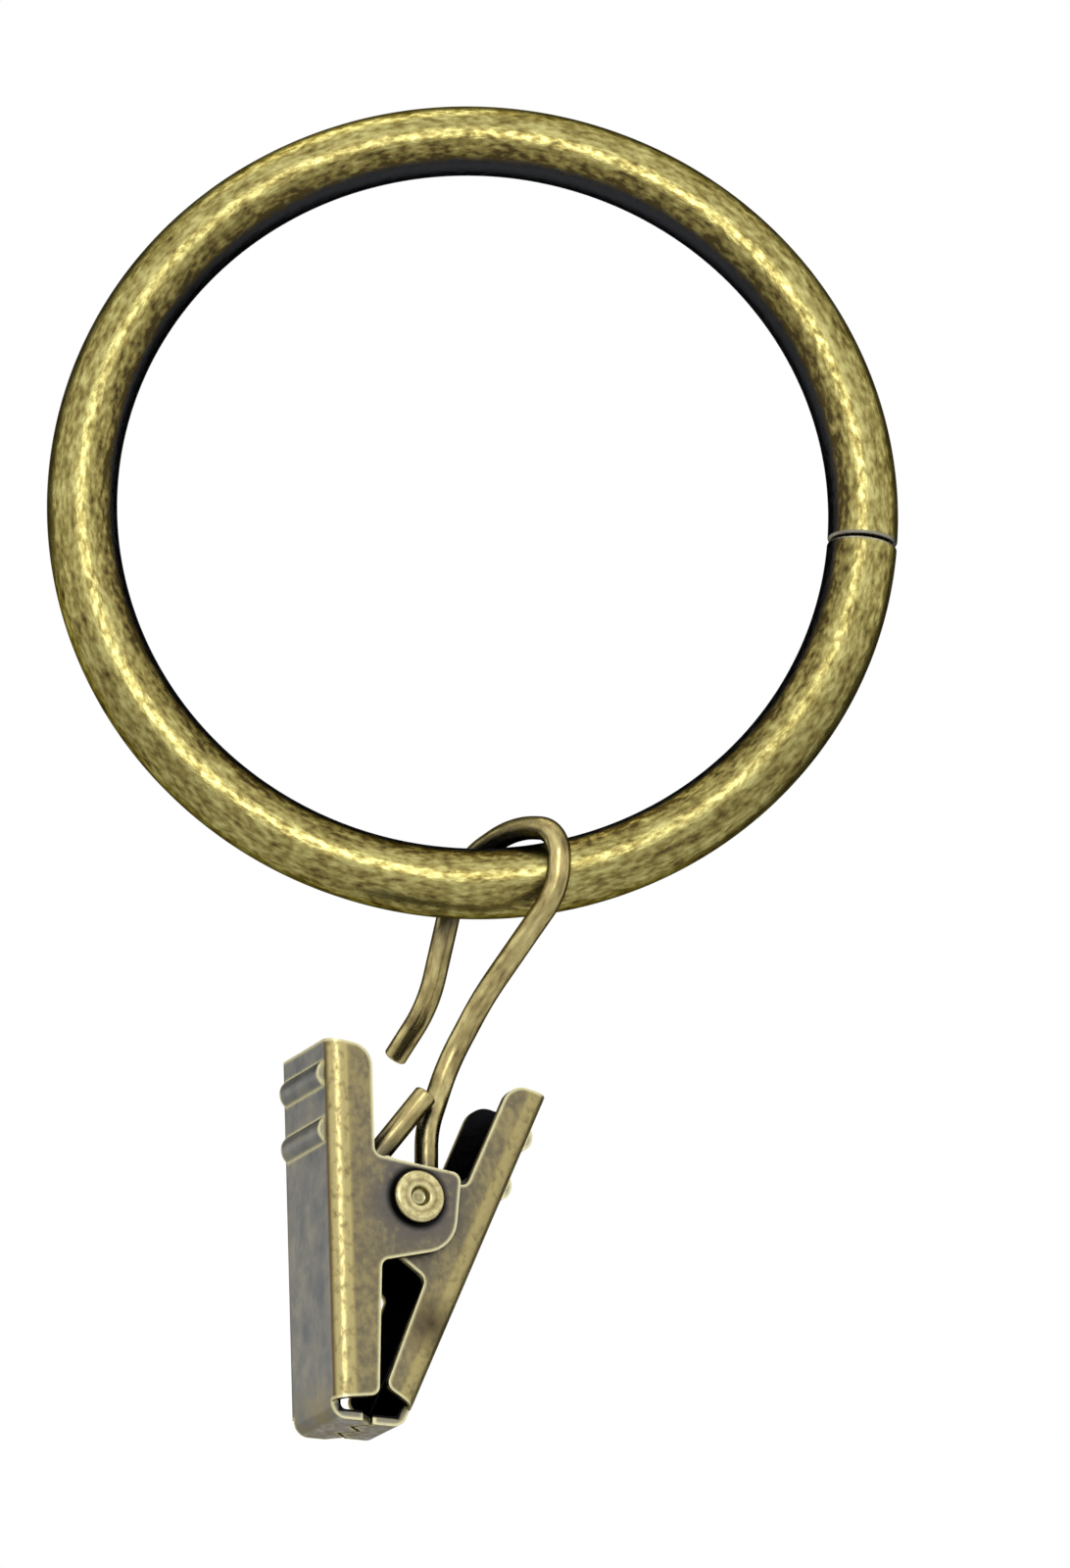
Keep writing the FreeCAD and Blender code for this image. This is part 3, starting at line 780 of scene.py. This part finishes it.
def jaw_places(tree, side, reach, lean, half_width):
    """Masks of a jaw by name, each 1 in its place and 0 elsewhere."""
    inward = side * math.cos(lean) * CLIP_AXES[0] + math.sin(lean) * CLIP_AXES[2]
    depth = distance_along(tree, inward, CLIP_ORIGIN - reach * inward)
    across = calculate(tree, "ABSOLUTE", distance_along(tree, CLIP_AXES[1], CLIP_ORIGIN))
    lip_top = CLIP_ORIGIN - (NOSE_DROP - LIP_THICKNESS) * CLIP_AXES[2]
    above_lip = distance_along(tree, CLIP_AXES[2], lip_top)
    from_rivet = distance_across(tree, 0, 0)
    near_back = between(tree, depth, BACK_DEPTH, BACK_BORDER)
    return {
        "cheeks": between(tree, across, BEND, CHEEK_BORDER, half_width, -1),
        # painted shadow line in brown where the back turns into the bend
        "painted_bend_shadow": times(tree, between(tree, across, BEND, BEND_SHADOW_BORDER, half_width, -1), near_back),
        # gold on the bend: partly rubbed brass, partly a painted highlight of its rounding
        "bends": times(tree, between(tree, across, BEND, GOLD_BORDER, half_width, -1), near_back),
        # painted shade: the inside of the channel is black
        "inside": times(tree, between(tree, across, SHEET, INSIDE_BORDERS, half_width, -1),
                        between(tree, depth, SHEET, INSIDE_BORDERS),
                        between(tree, above_lip, SHEET, LIP_BORDER)),
        "ear": times(tree, between(tree, from_rivet, EAR_GREY, EAR_FADE),
                     between(tree, depth, BACK_DEPTH, EAR_DEPTH)),
        "painted_rivet_shadow": between(tree, from_rivet, RIVET_SHADOW_WIDTH, RIVET_SHADOW_FADE, RIVET_HEAD_RADIUS),
        "stain": between(tree, distance_across(tree, *STAIN_PLACE), STAIN_RADIUS, STAIN_FADE),
        "under": between(tree, above_lip, SHEET, UNDER_BORDER),
        "foot": between(tree, above_lip, FOOT_HEIGHT, FOOT_FADE),
    }


print("the lip's upper face lies below the rivet by:", NOSE_DROP - LIP_THICKNESS)

# %% [markdown]
# ### Colours of a jaw
#
# The colours go on nearly in the order of the real work: the grey plating, the brass that was rubbed
# free on the cheeks, a painted shadow line in brown along each bend, and gold on the bend, which is
# partly rubbed brass and partly a painted highlight. Then comes the dark of the corners, partly patina
# and partly painted shade, and then the pale lines where the edges are bare. Painted shade in black goes
# round the rivet and inside the channel. Each layer is a mask and a colour, so the whole finish is one
# list. The grains fray some masks, or their borders would look drawn.

# %% Colours of a jaw
JAW_GREY = (0.235, 0.245, 0.25, 1)
JAW_SILVER = (0.39, 0.37, 0.315, 1)
JAW_SHINE = (0.62, 0.60, 0.56, 1)
JAW_OLIVE = (0.205, 0.175, 0.11, 1)
JAW_BRASS = (0.35, 0.29, 0.14, 1)
JAW_SHADE = (0.15, 0.135, 0.12, 1)
# dark of the corners: partly patina, partly painted shade
JAW_PATINA_AND_SHADE_DARK = (0.075, 0.068, 0.06, 1)
JAW_BROWN = (0.15, 0.10, 0.045, 1)
JAW_STAIN = (0.085, 0.062, 0.035, 1)
# black of the painted shade: round the rivet, inside the channel and at the rivet's foot
PAINTED_SHADE_BLACK = (0.008, 0.008, 0.009, 1)
JAW_GOLD = (0.52, 0.44, 0.19, 1)
JAW_PALE = (0.88, 0.82, 0.48, 1)
# edge tint: partly the dark plating, partly a painted dark reflection at glancing angles
JAW_RIM = (0.35, 0.34, 0.32)
print("pale line over dark corner:", round(JAW_PALE[0] / JAW_PATINA_AND_SHADE_DARK[0], 1))

# %% Metal of the jaws
LINE_WIDTH = 0.32 * MM
# reach and strength of the dark in corners, partly patina and partly painted shade
JAW_PATINA_AND_SHADE_REACH, JAW_PATINA_AND_SHADE_STRENGTH = 5 * LINE_WIDTH, 0.85
GRAINS_PER_MM, CLOUDS_PER_MM, CLOUD_LAYERS = 3.0, 0.7, 4.0
SILVER_SPREAD, BRASS_SPREAD, FOOT_SPREAD = (0.30, 0.70), (0.40, 0.60), (0.35, 0.60)
SHADE_SPREAD, GOLD_SPREAD, CHIPS = (0.80, 0.50), (0.15, 0.50), (0.20, 0.36)
FOOT_STRENGTH = 0.7


def in_layers(tree, tone, layers):
    """A tone with each layer's colour mixed over it by its mask, from the first to the last."""
    for mask, colour in layers:
        tone = mix_colour(tree, mask, tone, colour)
    return tone


def jaw_brass(name, shape, gold, stain):
    """Grey brass in layers, where gold and stain are the strengths of the bends and the stain."""
    material, tree, shader = new_material(name)
    place = place_on(tree, (1.0, 1.0, 0.8))
    grains = noise(tree, place, GRAINS_PER_MM, GRAIN_LAYERS)
    clouds = noise(tree, place, CLOUDS_PER_MM, CLOUD_LAYERS)
    both = calculate(tree, "ADD", times(tree, grains, 0.5), times(tree, clouds, 0.5))
    spots = jaw_places(tree, *shape)
    tone = mix_colour(tree, ramp(tree, clouds, *SILVER_SPREAD), JAW_GREY, JAW_SILVER)
    tone = in_layers(tree, tone, [
        (spots["under"], JAW_SHINE),
        (spots["cheeks"], JAW_OLIVE),
        (times(tree, spots["cheeks"], ramp(tree, both, *BRASS_SPREAD)), JAW_BRASS),
        (times(tree, spots["foot"], ramp(tree, both, *FOOT_SPREAD), FOOT_STRENGTH), JAW_BRASS),
        (times(tree, spots["ear"], ramp(tree, both, *SHADE_SPREAD)), JAW_SHADE),
        # painted shadow line in brown along the bend
        (times(tree, spots["painted_bend_shadow"], gold), JAW_BROWN),
        # gold on the bend: partly rubbed brass, partly a painted highlight
        (times(tree, spots["bends"], ramp(tree, grains, *GOLD_SPREAD), gold), JAW_GOLD),
        (times(tree, spots["stain"], spots["cheeks"], stain), JAW_STAIN),
        # dark in corners and under overlaps: partly patina, partly painted shade
        (times(tree, patina_and_shade_hollow(tree, JAW_PATINA_AND_SHADE_REACH), JAW_PATINA_AND_SHADE_STRENGTH), JAW_PATINA_AND_SHADE_DARK),
        # painted shadow round the rivet's head
        (spots["painted_rivet_shadow"], PAINTED_SHADE_BLACK),
        (times(tree, edge_wear(tree, LINE_WIDTH), ramp(tree, grains, *CHIPS)), JAW_PALE),
        # painted shade inside the channel
        (spots["inside"], PAINTED_SHADE_BLACK),
    ])
    metal_shader(tree, shader, tone, grains, (0.30, 0.46), 0.4, JAW_RIM)
    print(name, "nodes:", len(tree.nodes))
    return material


print("pale lines are as wide as:", LINE_WIDTH)

# %% [markdown]
# ### Finishes of the jaws
#
# Both jaws take the same brass, each in its own measures. The inner one has a weaker painted shadow line
# and weaker gold along its bends, and it carries a brown stain on its cheek below the rivet.

# %% Finishes of the jaws
OUTER_SHAPE = (1, OUTER_REACH, OUTER_LEAN, OUTER_HALF_WIDTH)
INNER_SHAPE = (-1, INNER_REACH, INNER_LEAN, INNER_HALF_WIDTH)
OUTER_METAL = jaw_brass("outer_jaw_brass", OUTER_SHAPE, gold=1.0, stain=0.0)
INNER_METAL = jaw_brass("inner_jaw_brass", INNER_SHAPE, gold=0.75, stain=1.0)

# %% [markdown]
# ### Brass of the rivet
#
# The rivet's near head is a rolled rim round a dimple. It stands proud, so it is rubbed the brightest of
# all. The groove inside its rim is darker brown, and the foot of its side, close to the jaw, is painted
# black as shade. Both are told by two distances: out along the rivet and from its axis.

# %% Metal of the rivet
RIVET_ROLL, ROLL_FOOT = 0.5 * MM, (0.65, 0.25)
GROOVE, GROOVE_STRENGTH = 0.85 * MM, 0.6
GROOVE_START, GROOVE_END, PAST_GROOVE = (0.8, 1), (1.2, 1), (1, 1.2)
RIVET_SPREAD = (0.30, 0.60)
RIVET_TONES = ((0.46, 0.38, 0.16, 1), (0.80, 0.71, 0.36, 1))
# reach and strength of the rivet's dark hollows, partly patina and partly painted shade
RIVET_PATINA_AND_SHADE_REACH, RIVET_PATINA_AND_SHADE_STRENGTH = 3 * LINE_WIDTH, 0.7
RIVET_LINE_STRENGTH = 0.7


def rivet_brass():
    """Brass rubbed bright on its rolled rim, darker brown in the groove, and painted black shade beside
    the jaw.
    """
    material, tree, shader = new_material("rivet_brass")
    grains = noise(tree, place_on(tree, (1.0, 1.0, 1.0)), GRAINS_PER_MM, GRAIN_LAYERS)
    out = calculate(tree, "ABSOLUTE", distance_along(tree, CLIP_AXES[1], CLIP_ORIGIN))
    from_axis = distance_across(tree, 0, 0)
    painted_shade_at_foot = times(tree, between(tree, out, RIVET_ROLL, ROLL_FOOT, OUTER_HALF_WIDTH),
                       between(tree, from_axis, GROOVE, PAST_GROOVE))
    groove = times(tree, between(tree, from_axis, GROOVE, GROOVE_START),
                   between(tree, from_axis, GROOVE, GROOVE_END))
    tone = mix_colour(tree, ramp(tree, grains, *RIVET_SPREAD), *RIVET_TONES)
    tone = in_layers(tree, tone, [
        (times(tree, groove, GROOVE_STRENGTH), JAW_BROWN),
        # dark hollows: partly patina, partly painted shade
        (times(tree, patina_and_shade_hollow(tree, RIVET_PATINA_AND_SHADE_REACH), RIVET_PATINA_AND_SHADE_STRENGTH), JAW_PATINA_AND_SHADE_DARK),
        (times(tree, edge_wear(tree, LINE_WIDTH), RIVET_LINE_STRENGTH), JAW_PALE),
        # painted shade: black at the foot of the rivet's head beside the jaw
        (painted_shade_at_foot, PAINTED_SHADE_BLACK),
    ])
    metal_shader(tree, shader, tone, grains, (0.22, 0.34), 0.3, JAW_RIM)
    print("rivet_brass nodes:", len(tree.nodes))
    return material


RIVET_METAL = rivet_brass()

# %% [markdown]
# ### Finishes on the pieces
#
# A piece drawn here has no material yet and takes one. A node of the model has slots with
# plain colours: its mesh stays as it is, and each slot is given the finish instead.


# %% Finishes on the pieces
def dress(piece, material):
    """A new piece takes the material as its only one."""
    piece.data.materials.clear()
    piece.data.materials.append(material)


def dress_node(node, material):
    """A node of the model keeps its mesh, and each of its slots takes the material."""
    for slot in node.material_slots:
        slot.material = material


for piece, material in ((ring, RING_METAL), (hook, HOOK_METAL), (spring, SPRING_METAL)):
    dress(piece, material)
for name, material in (("outer_jaw", OUTER_METAL), ("inner_jaw", INNER_METAL), ("rivet", RIVET_METAL)):
    dress_node(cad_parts[name], material)
    print(name, "slots:", len(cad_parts[name].material_slots))

# %% [markdown]
# ## The setting
#
# The object hangs alone before white. The world is white to the camera and in reflections,
# and dimmer as light, because more light would wash out the brass. Its strength depends on
# the kind of ray that asks for it.

# %% World
WORLD_AS_LIGHT, WORLD_AS_SEEN = 0.6, 1.0


def make_world():
    """Strength 1.0 to camera, glossy and transmission rays, and 0.6 to all others."""
    world = bpy.data.worlds.new("studio")
    bpy.context.scene.world = world
    world.use_nodes = True
    tree = world.node_tree
    ray = add(tree, "ShaderNodeLightPath").outputs
    seen = calculate(tree, "MAXIMUM", ray["Is Camera Ray"], ray["Is Glossy Ray"])
    seen = calculate(tree, "MAXIMUM", seen, ray["Is Transmission Ray"])
    strength = add(tree, "ShaderNodeMapRange", {
        "Value": seen, "To Min": WORLD_AS_LIGHT, "To Max": WORLD_AS_SEEN})
    background = tree.nodes["Background"]
    background.inputs["Color"].default_value = (1, 1, 1, 1)
    tree.links.new(strength.outputs["Result"], background.inputs["Strength"])


make_world()
print("world as light:", WORLD_AS_LIGHT)

# %% [markdown]
# ### Floor and black cards
#
# Bare metal shows what stands round it, so a photographer puts black cards close beside it,
# just out of view: a round wire then gets dark edges that part it from the white. The cards
# here are seen only in reflections. The floor lies well below, because the camera looks up.

# %% Floor and cards
PAINT_ROUGHNESS = 0.8
PALE = (0.92, 0.92, 0.91)
BLACK = (0.015, 0.015, 0.015)
CARDS = (
    ("flag_left", (-0.18, 0.10, 0.16), (0.11, 0, 0), (0, 0, 0.14)),
    ("flag_right", (0.18, 0.10, 0.10), (0.11, 0, 0), (0, 0, 0.20)),
    ("flag_above", (0, 0.10, 0.27), (0.07, 0, 0), (0, 0, 0.20)),
)


def stage_plane(name, centre, half_u, half_v, colour):
    """A flat card with its corners at centre -+ half_u -+ half_v, no part of the object."""
    centre, half_u, half_v = (np.array(v, float) for v in (centre, half_u, half_v))
    corners = [centre - half_u - half_v, centre + half_u - half_v,
               centre + half_u + half_v, centre - half_u + half_v]
    mesh = bpy.data.meshes.new(name)
    mesh.from_pydata([c.tolist() for c in corners], [], [(0, 1, 2, 3)])
    card = bpy.data.objects.new(name, mesh)
    bpy.context.collection.objects.link(card)
    material, _, shader = new_material(name + "_paint")
    shader.inputs["Base Color"].default_value = (*colour, 1)
    shader.inputs["Roughness"].default_value = PAINT_ROUGHNESS
    dress(card, material)
    return card


stage_plane("floor", (0, 0, -0.30), (6.0, 0, 0), (0, 6.0, 0), PALE)
for name, centre, half_u, half_v in CARDS:
    card = stage_plane(name, centre, half_u, half_v, BLACK)
    card.visible_camera = False
    card.visible_shadow = False
    card.visible_diffuse = False
print("cards:", len(CARDS))

# %% [markdown]
# ### Lamps
#
# One large soft lamp stands in front, a little to the left and above, and gives each wire its
# long bright line. A second one above the object lights the tops of the wires and of the clip.

# %% Lamps
LAMPS = (
    ("key", (-0.06, -0.75, 0.12), (0, 0, 0), 0.28, 1.0),
    ("top", (-0.10, 0.05, 0.60), (0, 0, -0.02), 0.30, 0.6),
)


def soft_lamp(name, place, target, side, watts):
    """A square lamp with this side and power, at a place and turned towards a target."""
    lamp = bpy.data.lights.new(name, "AREA")
    lamp.shape = "SQUARE"
    lamp.size = side
    lamp.energy = watts
    holder = bpy.data.objects.new(name, lamp)
    holder.location = place
    holder.rotation_euler = (Vector(target) - Vector(place)).to_track_quat("-Z", "Y").to_euler()
    bpy.context.collection.objects.link(holder)


for lamp in LAMPS:
    soft_lamp(*lamp)
print("lamps:", len(LAMPS))

# %% [markdown]
# ## The camera
#
# The ring shows as an ellipse, a little flatter than round and tilted: the camera stands
# 18.3 degrees below the ring's middle and 2.5 degrees to its left. It is half a metre away,
# which makes the clip, hanging nearer to it, a little larger than the ring's scale.

# %% Camera
AZIMUTH, ELEVATION = math.radians(-2.5), math.radians(-18.3)
DISTANCE = 0.5
PIXELS_PER_METRE = 19100
RING_PIXEL = (482.5, 518.6)
IMAGE_SIZE = (1092, 1600)
SENSOR_WIDTH = 36
NEAREST_SEEN = 0.01


def make_camera():
    """Camera at the photograph's place, aimed so that the ring's middle falls on its pixel.

    Its lens is the pixels per metre times the distance, over the longer side of the image in
    pixels, times the sensor's width.
    """
    back = Vector((math.sin(AZIMUTH) * math.cos(ELEVATION), -math.cos(AZIMUTH) * math.cos(ELEVATION),
                   math.sin(ELEVATION)))
    right = Vector((math.cos(AZIMUTH), math.sin(AZIMUTH), 0))
    up = back.cross(right)
    data = bpy.data.cameras.new("camera")
    data.sensor_width = SENSOR_WIDTH
    data.sensor_fit = "AUTO"
    data.lens = PIXELS_PER_METRE * DISTANCE * SENSOR_WIDTH / max(IMAGE_SIZE)
    data.clip_start = NEAREST_SEEN
    camera = bpy.data.objects.new("camera", data)
    camera.location = back * DISTANCE
    aside = (IMAGE_SIZE[0] / 2 - RING_PIXEL[0]) / PIXELS_PER_METRE
    below = (IMAGE_SIZE[1] / 2 - RING_PIXEL[1]) / PIXELS_PER_METRE
    aim = -back * DISTANCE + right * aside - up * below
    camera.rotation_euler = aim.to_track_quat("-Z", "Y").to_euler()
    bpy.context.collection.objects.link(camera)
    bpy.context.scene.camera = camera
    print("lens:", data.lens)


make_camera()
